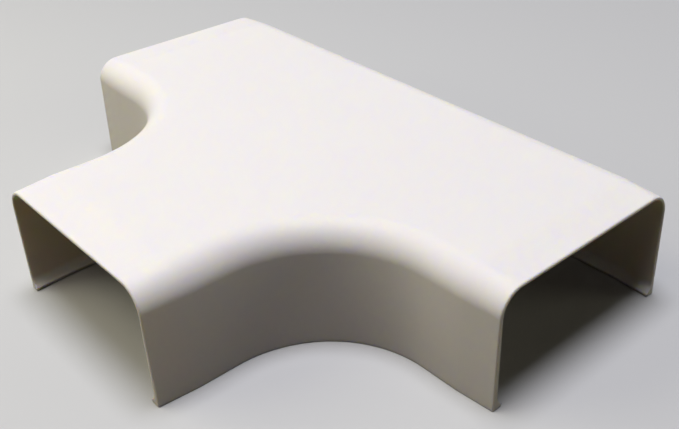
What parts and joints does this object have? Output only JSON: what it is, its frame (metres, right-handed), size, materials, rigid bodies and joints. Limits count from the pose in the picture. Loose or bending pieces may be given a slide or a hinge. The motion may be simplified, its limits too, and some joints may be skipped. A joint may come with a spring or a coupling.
{
  "type": "cable raceway tee cover",
  "caption": "Thin white moulded PVC tee cover for surface cable raceway, open underneath, with swept inside corners, rounded top edges, ends that draw in to grip the raceway, and inward snap hooks along its walls.",
  "frame": {"origin": "middle of the footprint, on the surface that the cover is fixed to", "axes": "+X along the straight run, -Y towards the branch mouth, +Z away from the surface that the cover is fixed to"},
  "size_m": [0.1344, 0.0928, 0.026],
  "materials": {
    "white_pvc": "satin moulded surface"
  },
  "bodies": {
    "root": {"tee_cover": "white_pvc"}
  },
  "joints": []
}
